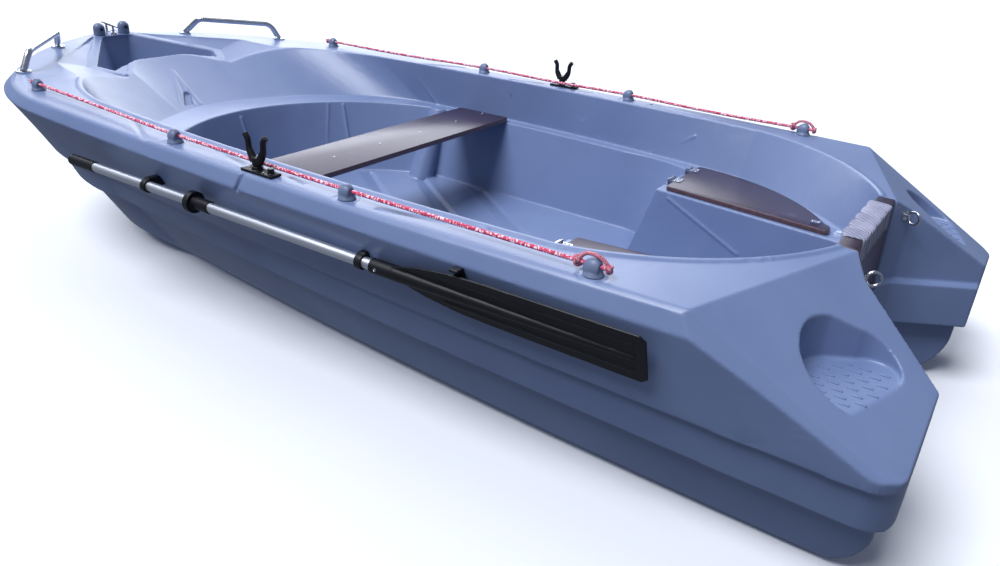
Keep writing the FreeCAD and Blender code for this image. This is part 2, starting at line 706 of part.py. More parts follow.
def lock_fork():
    x, y = LOCK
    pin = cyl((x, y, LOCK_SEAT + 2), (0, 0, 1), LOCK_PIN_R, 22)
    collar = cyl((x, y, LOCK_SEAT + LOCK_BOSS[1] + 1), (0, 0, 1), 12, 13)
    right = [(x + d, y, LOCK_SEAT + h) for d, h in FORK]
    left = [(x - d, y, LOCK_SEAT + h) for d, h in reversed(FORK)]
    return pin.fuse([collar, tube(right + left, FORK_R, 22)])


both("rowlock_base", lock_base())
both("rowlock", lock_fork())

# stowed oars along the topsides, stations measured from the grip end
OAR_GRIP = V(645, 828, 444)
OAR_TIP = V(-1316, 806, 449)
oar_dir = OAR_TIP - OAR_GRIP
OAR_LENGTH = oar_dir.Length
oar_dir.normalize()
SHAFT_R = 14.5
GRIP_R = 17.0
GRIP_LENGTH = 122.0
COLLAR_AT = 578.0
COLLAR_RING = (31.0, 20.0)
SLEEVE = (18.0, 82.0)
SOCKET_AT = 1251.0
SOCKET_R = 19.0
SOCKET_LENGTH = 76.0
SHAFT_INTO = 60.0
BLADE_LEAN = math.radians(20.0)


def along(s):
    return OAR_GRIP + oar_dir * s


def rod(s, length, radius):
    return Part.makeCylinder(radius, length, along(s), oar_dir)


grip = rod(0, GRIP_LENGTH, GRIP_R)
shaft = rod(GRIP_LENGTH, SOCKET_AT - GRIP_LENGTH + SHAFT_INTO, SHAFT_R)
collar = rod(COLLAR_AT, COLLAR_RING[1], COLLAR_RING[0]).fuse(rod(COLLAR_AT, SLEEVE[1], SLEEVE[0]))
collar = collar.cut(rod(COLLAR_AT - 10, SLEEVE[1] + 20, SHAFT_R + SEAT))

# blade: stations past the socket start and half widths, then thickness and ribs
BLADE = ((58, 17), (150, 44), (240, 58), (330, 62), (OAR_LENGTH - SOCKET_AT - 14, 66), (OAR_LENGTH - SOCKET_AT, 54))
BLADE_THICK = 6.0
RIB_R = 8.0
SIDE_RIB = (32.0, 8.0, 5.5)
blade_wide = V(0, math.sin(BLADE_LEAN), math.cos(BLADE_LEAN))
blade_out = V(0, math.cos(BLADE_LEAN), -math.sin(BLADE_LEAN))
blade_pts = [along(SOCKET_AT + s) + blade_wide * w for s, w in BLADE]
blade_pts += [along(SOCKET_AT + s) - blade_wide * w for s, w in reversed(BLADE)]
blade = Part.Face(Part.makePolygon(blade_pts + [blade_pts[0]])).extrude(blade_out * BLADE_THICK)
blade.translate(blade_out * (-BLADE_THICK / 2))
spine_length = OAR_LENGTH - SOCKET_AT - SOCKET_LENGTH - 30
spine = Part.makeCone(SOCKET_R, RIB_R / 2, spine_length, along(SOCKET_AT + SOCKET_LENGTH), oar_dir)
core = rod(SOCKET_AT, SOCKET_LENGTH, SOCKET_R).fuse(spine)
blade = blade.fuse(core).cut(rod(SOCKET_AT - 1, SHAFT_INTO + 2, SHAFT_R + SEAT))
ribs = []
for w in (SIDE_RIB[0], -SIDE_RIB[0] - SIDE_RIB[1]):
    strip = [(SOCKET_AT + 210, w), (OAR_LENGTH - 30, w)]
    strip += [(s, w + SIDE_RIB[1]) for s, w in reversed(strip)]
    strip_pts = [along(s) + blade_wide * v for s, v in strip]
    rib = Part.Face(Part.makePolygon(strip_pts + [strip_pts[0]])).extrude(blade_out * (2 * SIDE_RIB[2]))
    rib.translate(blade_out * -SIDE_RIB[2])
    ribs.append(rib)
blade = blade.fuse(ribs)
both("oar_grip", grip)
both("oar_shaft", shaft)
both("oar_collar", collar)
both("oar_blade", blade)

# clips that hold each oar against the topside, and a hook over the upper edge of the blade
CLIPS = (370.0, 1205.0)
CLIP_WIDE = 20.0
CLIP_R = 20.0
HOOK_X = (-872.0, -850.0)
HOOK_POST = (780.0, 820.0, 490.0, 519.0)
HOOK_LIP = (820.0, 838.0, 512.0, 519.0)


def clip(s):
    p = along(s)
    hoop = rod(s, CLIP_WIDE, CLIP_R)
    arm = box(p.x - CLIP_WIDE, p.x, 730, p.y, p.z - 7, p.z + 24)
    return hoop.fuse(arm).cut(rod(s - 10, CLIP_WIDE + 20, SHAFT_R + SEAT)).cut(hull)


hook = box(*HOOK_X, *HOOK_POST).cut(hull)
hook = hook.fuse(box(*HOOK_X, *HOOK_LIP))
both("oar_clips", Part.makeCompound([clip(s) for s in CLIPS] + [hook]))
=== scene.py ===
import math

import bmesh
import bpy
from mathutils import Matrix, Vector


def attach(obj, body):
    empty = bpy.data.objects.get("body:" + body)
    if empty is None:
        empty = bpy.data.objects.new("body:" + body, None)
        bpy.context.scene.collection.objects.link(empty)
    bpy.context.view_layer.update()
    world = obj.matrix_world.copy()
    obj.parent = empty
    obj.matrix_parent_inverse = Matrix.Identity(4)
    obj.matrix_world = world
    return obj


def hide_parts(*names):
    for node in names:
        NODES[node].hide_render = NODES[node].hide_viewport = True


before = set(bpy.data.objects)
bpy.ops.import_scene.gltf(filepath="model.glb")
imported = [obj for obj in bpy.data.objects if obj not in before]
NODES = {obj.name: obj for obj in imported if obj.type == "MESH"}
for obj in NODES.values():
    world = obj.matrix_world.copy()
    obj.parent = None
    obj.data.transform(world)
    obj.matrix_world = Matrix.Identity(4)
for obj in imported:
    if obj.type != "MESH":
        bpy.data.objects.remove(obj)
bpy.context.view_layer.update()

# Moulded fishing dinghy: looks built around the fixed CAD frame, in metres.
# +X to the bow, +Y to port, +Z up, z = 0 on the floor under the keels.
# Lengths with a name are in millimetres unless their comment says otherwise.

MM = 0.001
SIDES = {"port": 1.0, "starboard": -1.0}
UP = Vector((0, 0, 1))

# places repeated from the part's source
STERN_X = -1800.0
DECK_Z = 572.0
DECK_RISE = 5.0 / 1000.0
SHEER_START = 1200.0
SHEER_RUN = 600.0
STEM_DECK_Z = 615.0
PLATEAU_START = 1258.0
PLATEAU_Z = 532.0
PLATEAU_RISE = 0.187
EYES = ((1039, 697), (203, 757), (-478, 764), (-1153, 750))
EYE_LIFT = 0.42
LINE_R = 5.0
LINE_RISE = 21.0
LINE_SAG = 5.0
LINE_BOW = 10.0
LINE_TAIL = 34.0
TREAD_Z = 403.0
LOCK = (-171.0, 777.0)
PLATE_TOP = 7.8
HINGE_X = -856.0
HINGE_Y = (371.0, 518.0)
LEAF_TOP = 432.2
THWART_X = 115.0
THWART_TOP = 433.0
CATCH = (-1353.0, 268.0, 439.0)
BOARD_X = (-1549.3, -1504.3)
BOARD_TOP = 566.0
PAD_HALF = 160.0
PAD_THICK = 9.0
PAD_DEEP = 55.0
OAR_GRIP = Vector((645, 828, 444))
OAR_TIP = Vector((-1316, 806, 449))
SOCKET_AT = 1251.0
BLADE_LEAN = math.radians(20.0)
HANDLE_FEET = ((1311, 605), (1612, 304))
CLEAT_X = 1724.0


def deck_height(x):
    """Height of the side deck at a place along the boat."""
    return DECK_Z + DECK_RISE * x


def eye_seat(x):
    """Height on which a line eye stands."""
    return deck_height(x) + EYE_LIFT


def sheer_height(x):
    """Height of the deck forward, where it climbs to the stem."""
    aft = deck_height(SHEER_START)
    return aft + (STEM_DECK_Z - aft) * max(0.0, x - SHEER_START) / SHEER_RUN


def plateau_height(x):
    """Height of the flat round the bow well."""
    return PLATEAU_Z + PLATEAU_RISE * (x - PLATEAU_START)


# camera at the photograph's viewing angle, in metres
CAMERA_AT = (-1.8127, 2.0974, 1.2463)
CAMERA_HEADING = math.radians(-56.69)
CAMERA_DOWN = math.radians(25.50)
CAMERA_ROLL = math.radians(3.15)
CAMERA_LENS = 28.97
CAMERA_SENSOR = 36.0


def place_camera():
    """Camera turned by its heading, dip and roll."""
    ahead = Vector((math.cos(CAMERA_DOWN) * math.cos(CAMERA_HEADING),
                    math.cos(CAMERA_DOWN) * math.sin(CAMERA_HEADING), -math.sin(CAMERA_DOWN)))
    right = ahead.cross(UP).normalized()
    up = right.cross(ahead)
    rolled_right = right * math.cos(CAMERA_ROLL) + up * math.sin(CAMERA_ROLL)
    rolled_up = up * math.cos(CAMERA_ROLL) - right * math.sin(CAMERA_ROLL)
    data = bpy.data.cameras.new("camera")
    data.lens = CAMERA_LENS
    data.sensor_width = CAMERA_SENSOR
    data.clip_start = 0.05
    data.clip_end = 200.0
    camera = bpy.data.objects.new("camera", data)
    camera.matrix_world = Matrix((
        (rolled_right.x, rolled_up.x, -ahead.x, CAMERA_AT[0]),
        (rolled_right.y, rolled_up.y, -ahead.y, CAMERA_AT[1]),
        (rolled_right.z, rolled_up.z, -ahead.z, CAMERA_AT[2]),
        (0, 0, 0, 1),
    ))
    bpy.context.scene.collection.objects.link(camera)
    bpy.context.scene.camera = camera


def linear(colour):
    """Linear RGBA of an sRGB hex colour."""
    parts = [int(colour[i:i + 2], 16) / 255.0 for i in (1, 3, 5)]
    lit = [p / 12.92 if p <= 0.04045 else ((p + 0.055) / 1.055) ** 2.4 for p in parts]
    return (lit[0], lit[1], lit[2], 1.0)


def per_metre(size):
    """Texture scale of a pattern whose grains are about this size."""
    return 1000.0 / size


def add(tree, kind, inputs=None, stops=(), **settings):
    """Add a shader node. Inputs maps a socket to a value, to a socket or to a node whose first
    output is meant, and stops fills a colour ramp with places and hex colours."""
    made = tree.nodes.new(kind)
    for name, value in settings.items():
        setattr(made, name, value)
    for key, value in (inputs or {}).items():
        if isinstance(value, bpy.types.Node):
            value = value.outputs[0]
        if isinstance(value, bpy.types.NodeSocket):
            tree.links.new(value, made.inputs[key])
        else:
            made.inputs[key].default_value = value
    for number, (position, colour) in enumerate(stops):
        if number == len(made.color_ramp.elements):
            made.color_ramp.elements.new(1.0)
        made.color_ramp.elements[number].position = position
        made.color_ramp.elements[number].color = linear(colour)
    return made


def material_from(name, painted):
    """New material whose principled shader takes the inputs that painted works out in its tree."""
    material = bpy.data.materials.new(name)
    material.use_nodes = True
    tree = material.node_tree
    tree.nodes.clear()
    shader = add(tree, "ShaderNodeBsdfPrincipled", painted(tree))
    add(tree, "ShaderNodeOutputMaterial", {"Surface": shader})
    return material


def moulded_polyethylene(tree):
    """Rotomoulded polyethylene: satin skin, faint orange peel, slight mottling in the blue grey."""
    point = add(tree, "ShaderNodeTexCoord").outputs["Object"]
    mottle = add(tree, "ShaderNodeTexNoise", {"Vector": point, "Scale": per_metre(260.0), "Detail": 3.0})
    colour = add(tree, "ShaderNodeValToRGB", {"Fac": mottle}, stops=((0.3, "#6b7ca2"), (0.7, "#7384a9")))
    cloud = add(tree, "ShaderNodeTexNoise", {"Vector": point, "Scale": per_metre(90.0)})
    sheen = add(tree, "ShaderNodeMapRange", {"Value": cloud, "To Min": 0.30, "To Max": 0.40})
    peel = add(tree, "ShaderNodeTexNoise", {"Vector": point, "Scale": per_metre(2.6)})
    bump = add(tree, "ShaderNodeBump", {"Height": peel, "Distance": 0.10 * MM})
    return {"Base Color": colour, "Roughness": sheen, "IOR": 1.51, "Normal": bump}


def film_faced_plywood(tree):
    """Film-faced birch plywood: purple-brown phenolic film with a fine mesh print and faint scuffs,
    and browner sealed edges on the faces that don't lie flat."""
    point = add(tree, "ShaderNodeTexCoord").outputs["Object"]
    scuffs = {"Vector": point, "Scale": per_metre(110.0), "Detail": 6.0, "Roughness": 0.65}
    wear = add(tree, "ShaderNodeTexNoise", scuffs)
    film = add(tree, "ShaderNodeValToRGB", {"Fac": wear},
               stops=((0.35, "#2c2133"), (0.62, "#352941"), (0.8, "#5a4c62")))
    grain = add(tree, "ShaderNodeTexNoise", {"Vector": point, "Scale": per_metre(9.0), "Detail": 3.0})
    edge = add(tree, "ShaderNodeValToRGB", {"Fac": grain}, stops=((0.3, "#513a40"), (0.7, "#6a5054")))
    normal = add(tree, "ShaderNodeNewGeometry").outputs["Normal"]
    height = add(tree, "ShaderNodeSeparateXYZ", {"Vector": normal}).outputs["Z"]
    level = add(tree, "ShaderNodeMath", {0: height}, operation="ABSOLUTE")
    on_face = add(tree, "ShaderNodeMapRange", {"Value": level, "From Min": 0.5, "From Max": 0.8})
    both = add(tree, "ShaderNodeMix", {0: on_face, 6: edge, 7: film}, data_type="RGBA").outputs[2]
    sheen = add(tree, "ShaderNodeMapRange", {"Value": wear, "To Min": 0.24, "To Max": 0.40})
    mesh_print = add(tree, "ShaderNodeTexVoronoi", {"Vector": point, "Scale": 330.0}, distance="CHEBYCHEV")
    bump = add(tree, "ShaderNodeBump", {"Height": mesh_print, "Distance": 0.2 * MM, "Strength": 0.5})
    return {"Base Color": both, "Roughness": sheen, "Normal": bump}


def anodised_aluminium(tree):
    """Anodised aluminium tube: pale satin metal with streaks drawn along its length."""
    point = add(tree, "ShaderNodeTexCoord").outputs["Object"]
    drawn = add(tree, "ShaderNodeMapping", {"Vector": point, "Scale": (0.02, 1.0, 1.0)})
    streaks = add(tree, "ShaderNodeTexNoise", {"Vector": drawn, "Scale": per_metre(3.0), "Detail": 4.0})
    colour = add(tree, "ShaderNodeValToRGB", {"Fac": streaks}, stops=((0.3, "#d9dee6"), (0.7, "#e8ebf0")))
    sheen = add(tree, "ShaderNodeMapRange", {"Value": streaks, "To Min": 0.34, "To Max": 0.44})
    return {"Base Color": colour, "Roughness": sheen, "Metallic": 1.0}


def polished_stainless(tree):
    """Polished stainless steel: mirror bright with fine smears."""
    point = add(tree, "ShaderNodeTexCoord").outputs["Object"]
    smear = add(tree, "ShaderNodeTexNoise", {"Vector": point, "Scale": per_metre(30.0), "Detail": 4.0})
    colour = add(tree, "ShaderNodeValToRGB", {"Fac": smear}, stops=((0.3, "#c6cad1"), (0.7, "#d6d9df")))
    sheen = add(tree, "ShaderNodeMapRange", {"Value": smear, "To Min": 0.16, "To Max": 0.28})
    return {"Base Color": colour, "Roughness": sheen, "Metallic": 1.0}


def moulded_nylon(tree, low, high):
    """Injection moulded nylon between two hex colours: fine grained satin, a little duller in clouds."""
    point = add(tree, "ShaderNodeTexCoord").outputs["Object"]
    grain = add(tree, "ShaderNodeTexNoise", {"Vector": point, "Scale": per_metre(1.6)})
    cloud = add(tree, "ShaderNodeTexNoise", {"Vector": point, "Scale": per_metre(60.0), "Detail": 3.0})
    colour = add(tree, "ShaderNodeValToRGB", {"Fac": cloud}, stops=((0.3, low), (0.7, high)))
    sheen = add(tree, "ShaderNodeMapRange", {"Value": cloud, "To Min": 0.34, "To Max": 0.48})
    bump = add(tree, "ShaderNodeBump", {"Height": grain, "Distance": 0.08 * MM})
    return {"Base Color": colour, "Roughness": sheen, "IOR": 1.53, "Specular IOR Level": 0.4, "Normal": bump}


# picks along a lifeline, about 2.8 mm each, and strands round it
LINE_PICKS = 820.0
LINE_STRANDS = 7.0


def braided_line(tree):
    """Polyester braid: crossing red strands with a white tracer, dull as fibre is."""
    place = add(tree, "ShaderNodeTexCoord").outputs["UV"]
    turned = add(tree, "ShaderNodeMapping", {"Vector": place, "Scale": (LINE_PICKS, LINE_STRANDS, 1.0)})
    weave = add(tree, "ShaderNodeTexVoronoi", {"Vector": turned, "Scale": 1.0, "Randomness": 0.55})
    strand = add(tree, "ShaderNodeSeparateColor", {"Color": weave.outputs["Color"]})
    colour = add(tree, "ShaderNodeValToRGB", {"Fac": strand},
                 stops=((0.0, "#b8244c"), (0.4, "#d2375c"), (0.72, "#e4617f"), (0.76, "#f5e3ea")))
    sheen = add(tree, "ShaderNodeMapRange", {"Value": strand, "To Min": 0.6, "To Max": 0.8})
    bump = add(tree, "ShaderNodeBump", {"Height": weave, "Distance": 0.8 * MM})
    return {"Base Color": colour, "Roughness": sheen, "Normal": bump}


# ribs about 7 mm apart, coarser than the real 3 mm, so that they show
TWILL_SCALE = 46.0


def woven_cotton(tree):
    """Woven cotton webbing: soft slanting twill in pale grey, faintly clouded, with painted shade between its
    ribs.
    """
    point = add(tree, "ShaderNodeTexCoord").outputs["Object"]
    slant = add(tree, "ShaderNodeMapping", {"Vector": point, "Rotation": (0.0, 0.0, 0.5)})
    bands = {"Vector": slant, "Scale": TWILL_SCALE, "Distortion": 0.6, "Detail": 1.0}
    twill = add(tree, "ShaderNodeTexWave", bands, bands_direction="Y").outputs["Fac"]
    soil = add(tree, "ShaderNodeTexNoise", {"Vector": point, "Scale": per_metre(55.0), "Detail": 4.0})
    dirt = add(tree, "ShaderNodeValToRGB", {"Fac": soil}, stops=((0.3, "#8e90a6"), (0.7, "#aeb0c4")))
    # twill hollows painted darker: painted shade between the ribs, on top of their bump
    ribs = add(tree, "ShaderNodeValToRGB", {"Fac": twill}, stops=((0.1, "#7c7e94"), (0.6, "#ffffff")))
    mixed = add(tree, "ShaderNodeMix", {0: 0.6, 6: dirt, 7: ribs}, data_type="RGBA", blend_type="MULTIPLY")
    sheen = add(tree, "ShaderNodeMapRange", {"Value": soil, "To Min": 0.78, "To Max": 0.92})
    bump = add(tree, "ShaderNodeBump", {"Height": twill, "Distance": 1.2 * MM})
    return {"Base Color": mixed.outputs[2], "Roughness": sheen, "Normal": bump}


def studio_floor(tree):
    """Matt white floor paint: chalky, very faintly clouded."""
    point = add(tree, "ShaderNodeTexCoord").outputs["Object"]
    cloud = add(tree, "ShaderNodeTexNoise", {"Vector": point, "Scale": per_metre(900.0)})
    colour = add(tree, "ShaderNodeValToRGB", {"Fac": cloud}, stops=((0.3, "#e9ebee"), (0.7, "#edeff1")))
    return {"Base Color": colour, "Roughness": 0.9}


def nylon_of(low, high):
    """Moulded nylon in the two colours of one fitting."""
    return lambda tree: moulded_nylon(tree, low, high)


FINISHES = {
    "hull_plastic": material_from("rotomoulded_polyethylene_blue_grey", moulded_polyethylene),
    "plywood": material_from("film_faced_plywood_brown", film_faced_plywood),
    "oar_aluminium": material_from("anodised_aluminium_tube", anodised_aluminium),
    "stainless": material_from("polished_stainless_steel", polished_stainless),
    "black_plastic": material_from("glass_filled_nylon_black", nylon_of("#08090d", "#0f1016")),
    "moulded_fittings": material_from("moulded_polyamide_slate_grey", nylon_of("#66738f", "#707d9a")),
    "red_rope": material_from("braided_polyester_line_red", braided_line),
    "pad_rope": material_from("wound_cotton_webbing_pale_grey", woven_cotton),
    "clear_nylon": material_from("natural_nylon_translucent_white", nylon_of("#b4bfd6", "#cdd6e8")),
}


def dress_nodes():
    """Give every CAD node the finish named like its material slot."""
    for node in NODES.values():
        for slot in node.material_slots:
            slot.material = FINISHES[slot.material.name.split(".")[0]]


def shown(name, mesh, finish, body="boat", stands_for=()):
    """New piece from a finished mesh, riding on its body."""
    mesh.materials.clear()
    mesh.materials.append(FINISHES[finish])
    piece = bpy.data.objects.new(name, mesh)
    bpy.context.scene.collection.objects.link(piece)
    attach(piece, body)
    if stands_for:
        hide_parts(*stands_for)
    return piece


SHARP = math.radians(34.0)


def whole(shape, name):
    """Finished mesh in metres from a bmesh in millimetres: doubles merged, faces outward and
    sharp edges marked."""
    bmesh.ops.remove_doubles(shape, verts=shape.verts, dist=0.01)
    bmesh.ops.recalc_face_normals(shape, faces=shape.faces)
    bmesh.ops.scale(shape, vec=(MM, MM, MM), verts=shape.verts)
    for face in shape.faces:
        face.smooth = True
    for edge in shape.edges:
        edge.smooth = not (edge.is_manifold and edge.calc_face_angle() > SHARP)
    mesh = bpy.data.meshes.new(name)
    shape.to_mesh(mesh)
    shape.free()
    return mesh


def joined(name, meshes):
    """One mesh from several."""
    shape = bmesh.new()
    for mesh in meshes:
        shape.from_mesh(mesh)
        bpy.data.meshes.remove(mesh)
    made = bpy.data.meshes.new(name)
    shape.to_mesh(made)
    shape.free()
    return made


def merged_copy(node, name):
    """Copy of a CAD node's mesh with its loose triangles merged."""
    mesh = NODES[node].data.copy()
    mesh.name = name
    shape = bmesh.new()
    shape.from_mesh(mesh)
    bmesh.ops.remove_doubles(shape, verts=shape.verts, dist=0.05 * MM)
    shape.to_mesh(mesh)
    shape.free()
    return mesh


def baked(piece):
    """Mesh of a piece with its modifiers applied."""
    depsgraph = bpy.context.evaluated_depsgraph_get()
    mesh = bpy.data.meshes.new_from_object(piece.evaluated_get(depsgraph))
    bpy.data.objects.remove(piece)
    return mesh


def pointing(place, way, axis="Z"):
    """Matrix that carries an axis to a place and turns it along a way."""
    return Matrix.Translation(place) @ way.to_track_quat(axis, "Y").to_matrix().to_4x4()


def spindle(shape, top, foot, top_r, foot_r, sides=20):
    """Tapered round bar between two points."""
    way = foot - top
    bmesh.ops.create_cone(shape, cap_ends=True, segments=sides, radius1=top_r, radius2=foot_r,
                          depth=way.length, matrix=pointing((top + foot) / 2, way))


def upright(shape, x, y, heights, radii, sides=20):
    """Tapered round bar on end, from its top to its foot."""
    spindle(shape, Vector((x, y, heights[0])), Vector((x, y, heights[1])), *radii, sides)


def ring(shape, centre, radius, bar, steps=32, sides=8):
    """Torus lying flat round a point."""
    start = bmesh.ops.create_circle(shape, cap_ends=False, segments=sides, radius=bar)["verts"]
    out = Vector(centre) + Vector((radius, 0, 0))
    stood = Matrix.Translation(out) @ Matrix.Rotation(math.pi / 2, 4, "X")
    bmesh.ops.transform(shape, matrix=stood, verts=start)
    edges = list({edge for vert in start for edge in vert.link_edges})
    bmesh.ops.spin(shape, geom=start + edges, cent=centre, axis=UP, angle=2 * math.pi, steps=steps,
                   use_merge=True)


def sliced(shape, place, facing, clear=False):
    """Cut a shape along a plane, clearing what lies beyond it if asked; returns what the cut made."""
    geometry = shape.verts[:] + shape.edges[:] + shape.faces[:]
    return bmesh.ops.bisect_plane(shape, geom=geometry, plane_co=place, plane_no=facing,
                                  clear_outer=clear)["geom_cut"]


def lay_dash(shape, centre, size, ease=1.4):
    """Low bar with its top edges rounded."""
    made = bmesh.ops.create_cube(shape, size=1.0)["verts"]
    bmesh.ops.scale(shape, vec=size, verts=made)
    bmesh.ops.translate(shape, vec=centre + UP * (size[2] / 2), verts=made)
    edges = [edge for edge in {e for v in made for e in v.link_edges}
             if max(v.co.z for v in edge.verts) > centre.z + size[2] * 0.9]
    bmesh.ops.bevel(shape, geom=edges, offset=ease, offset_type="OFFSET", segments=2, profile=0.5,
                    affect="EDGES", material=-1, clamp_overlap=True)


def rounded_moulding(node, name, voxel, ease, keep, finish, body="boat", cutter=None, extra=None):
    """Stand-in for a CAD node whose sharp edges come out round, as a moulding's do. A cutter is
    taken from it first, and an extra mesh grows into it."""
    core = merged_copy(node, name)
    if extra:
        core = joined(name, [core, extra])
    rough = bpy.data.objects.new("rough_" + name, core)
    bpy.context.scene.collection.objects.link(rough)
    if cutter:
        tool = bpy.data.objects.new("tool_" + name, cutter)
        bpy.context.scene.collection.objects.link(tool)
        carve = rough.modifiers.new("carve", "BOOLEAN")
        carve.operation = "DIFFERENCE"
        carve.solver = "EXACT"
        carve.object = tool
    remesh = rough.modifiers.new("round", "REMESH")
    remesh.mode = "VOXEL"
    remesh.voxel_size = voxel * MM
    remesh.use_smooth_shade = True
    smooth = rough.modifiers.new("ease", "SMOOTH")
    smooth.factor = 0.5
    smooth.iterations = ease
    lighter = rough.modifiers.new("lighter", "DECIMATE")
    lighter.ratio = keep
    mesh = baked(rough)
    mesh.name = name
    if cutter:
        bpy.data.objects.remove(tool)
    return shown(name, mesh, finish, body, (node,))


FLAT = math.radians(1.0)
CREASE = math.radians(50.0)


def broken_edges(node, name, width, finish, body="boat"):
    """Stand-in for a CAD node with its sharp edges broken by a small round, as on cut board."""
    mesh = merged_copy(node, name)
    shape = bmesh.new()
    shape.from_mesh(mesh)
    bmesh.ops.dissolve_limit(shape, angle_limit=FLAT, verts=shape.verts, edges=shape.edges)
    corners = [edge for edge in shape.edges if edge.is_manifold and edge.calc_face_angle() > SHARP]
    bmesh.ops.bevel(shape, geom=corners, offset=width * MM, offset_type="OFFSET", segments=2, profile=0.5,
                    affect="EDGES", material=-1, clamp_overlap=True)
    for face in shape.faces:
        face.smooth = True
    for edge in shape.edges:
        edge.smooth = not (edge.is_manifold and edge.calc_face_angle() > CREASE)
    shape.to_mesh(mesh)
    shape.free()
    return shown(name, mesh, finish, body, (node,))


HULL_VOXEL = 4.0
HULL_EASE = 2
HULL_KEEP = 0.10
EYE_RECESS_R = 31.0
EYE_RECESS_BAR = 4.0
# strap groove beside each rowlock: distances ahead and outboard of it, and the height
GROOVE_TOP = (22, 27, 580)
GROOVE_FOOT = (40, 45, 518)
GROOVE_RADII = (8.0, 6.0)
DIMPLE = (1385.0, 330.0)
DIMPLE_HEIGHTS = (618.0, 562.0)
DIMPLE_RADII = (22.0, 9.0)


def hull_recesses():
    """Tool body of the rings round the line eyes, the strap grooves and the foredeck dimples."""
    tool = bmesh.new()
    for side in SIDES.values():
        for x, y in EYES:
            ring(tool, (x, side * y, eye_seat(x)), EYE_RECESS_R, EYE_RECESS_BAR)
        top, foot = (Vector((LOCK[0] + ahead, side * (LOCK[1] + out), z))
                     for ahead, out, z in (GROOVE_TOP, GROOVE_FOOT))
        spindle(tool, top, foot, *GROOVE_RADII)
        upright(tool, DIMPLE[0], side * DIMPLE[1], DIMPLE_HEIGHTS, DIMPLE_RADII)
    return whole(tool, "recesses")


def mould_hull():
    rounded_moulding("hull", "hull_moulding", HULL_VOXEL, HULL_EASE, HULL_KEEP, "hull_plastic",
                     cutter=hull_recesses())


HOOD_HALF = (24.0, 17.5, 24.0)
HOOD_AHEAD = 1.0
HOOD_RISE = 13.0
HOOD_FLAT = 15.0


def hoods(side):
    """Rounded hood of each line eye: domed forward, flat aft where the line comes out."""
    domes = []
    for x, y in EYES:
        shape = bmesh.new()
        bmesh.ops.create_uvsphere(shape, u_segments=24, v_segments=16, radius=1.0)
        bmesh.ops.scale(shape, vec=HOOD_HALF, verts=shape.verts)
        bmesh.ops.translate(shape, vec=(x + HOOD_AHEAD, side * y, eye_seat(x) + HOOD_RISE), verts=shape.verts)
        cut = sliced(shape, (x - HOOD_FLAT, 0, 0), (-1, 0, 0), clear=True)
        rim = [edge for edge in cut if isinstance(edge, bmesh.types.BMEdge)]
        bmesh.ops.edgeloop_fill(shape, edges=rim)
        domes.append(whole(shape, "hood"))
    return joined("hoods", domes)


ROOT_SEAT = 1.0
ROOT_HEIGHTS = (40.0, 18.0)
ROOT_RADII = (13.5, 13.0)
# shoulder of each arm: distance from the pin and height, at its top and at its foot
SHOULDER_TOP = (28, 60)
SHOULDER_FOOT = (10, 28)
SHOULDER_RADII = (8.5, 11.5)


def fork_root(side):
    """Thick root of the rowlock fork, swelling from the pin's collar up to the arms."""
    shape = bmesh.new()
    x, y = LOCK[0], side * LOCK[1]
    seat = deck_height(x) + ROOT_SEAT
    upright(shape, x, y, [seat + height for height in ROOT_HEIGHTS], ROOT_RADII)
    for way in (-1, 1):
        top, foot = (Vector((x + way * out, y, seat + height))
                     for out, height in (SHOULDER_TOP, SHOULDER_FOOT))
        spindle(shape, top, foot, *SHOULDER_RADII)
    return whole(shape, "fork_root")


# stations along the oar from its grip, and clearances short of the blade's tip
CORE_START = SOCKET_AT + 70
CORE_SLENDER = SOCKET_AT + 200
CORE_SHORT = 26
CORE_RADII = (19.5, 17.0, 8.0)
BLADE_RIB_START = SOCKET_AT + 205
BLADE_RIB_SHORT = 28
BLADE_RIB_OUT = 36.0
BLADE_RIB_RADII = (5.6, 6.4)


def blade_core(side):
    """Round core running out along the blade, and a rib on each half of it."""
    shape = bmesh.new()
    grip, tip = Vector(OAR_GRIP), Vector(OAR_TIP)
    grip.y *= side
    tip.y *= side
    way = (tip - grip).normalized()
    length = (tip - grip).length
    across = Vector((0, side * math.sin(BLADE_LEAN), math.cos(BLADE_LEAN)))
    start, slender, end = (grip + way * at for at in (CORE_START, CORE_SLENDER, length - CORE_SHORT))
    spindle(shape, start, slender, *CORE_RADII[:2])
    spindle(shape, slender, end, *CORE_RADII[1:])
    for out in (-BLADE_RIB_OUT, BLADE_RIB_OUT):
        root, end = (grip + way * at + across * out for at in (BLADE_RIB_START, length - BLADE_RIB_SHORT))
        spindle(shape, root, end, *BLADE_RIB_RADII)
    return whole(shape, "blade_core")


# small mouldings on both sides: node, finish, voxel, smoothing passes, share of faces kept,
# body or its stem, and what grows into the moulding
MOULDINGS = (
    ("lifeline_eyes", "moulded_fittings", 1.2, 2, 0.30, "boat", hoods),
    ("oar_clips", "black_plastic", 1.4, 2, 0.30, "boat", None),
    ("rowlock_base", "black_plastic", 1.2, 2, 0.30, "boat", None),
    ("rowlock", "black_plastic", 1.0, 2, 0.30, "rowlock", fork_root),
    ("oar_blade", "black_plastic", 1.6, 2, 0.35, "boat", blade_core),
    ("oar_collar", "black_plastic", 1.2, 2, 0.30, "boat", None),
    ("oar_grip", "black_plastic", 1.6, 2, 0.30, "boat", None),
)


def mould_fittings():
    for node, finish, voxel, ease, keep, stem, grown in MOULDINGS:
        for side, sign in SIDES.items():
            body = stem if stem == "boat" else stem + "_" + side
            extra = grown(sign) if grown else None
            rounded_moulding(node + "_" + side, node + "_moulding_" + side, voxel, ease, keep, finish, body,
                             extra=extra)
    rounded_moulding("fairlead_posts", "fairlead_moulding", 1.2, 2, 0.3, "moulded_fittings")


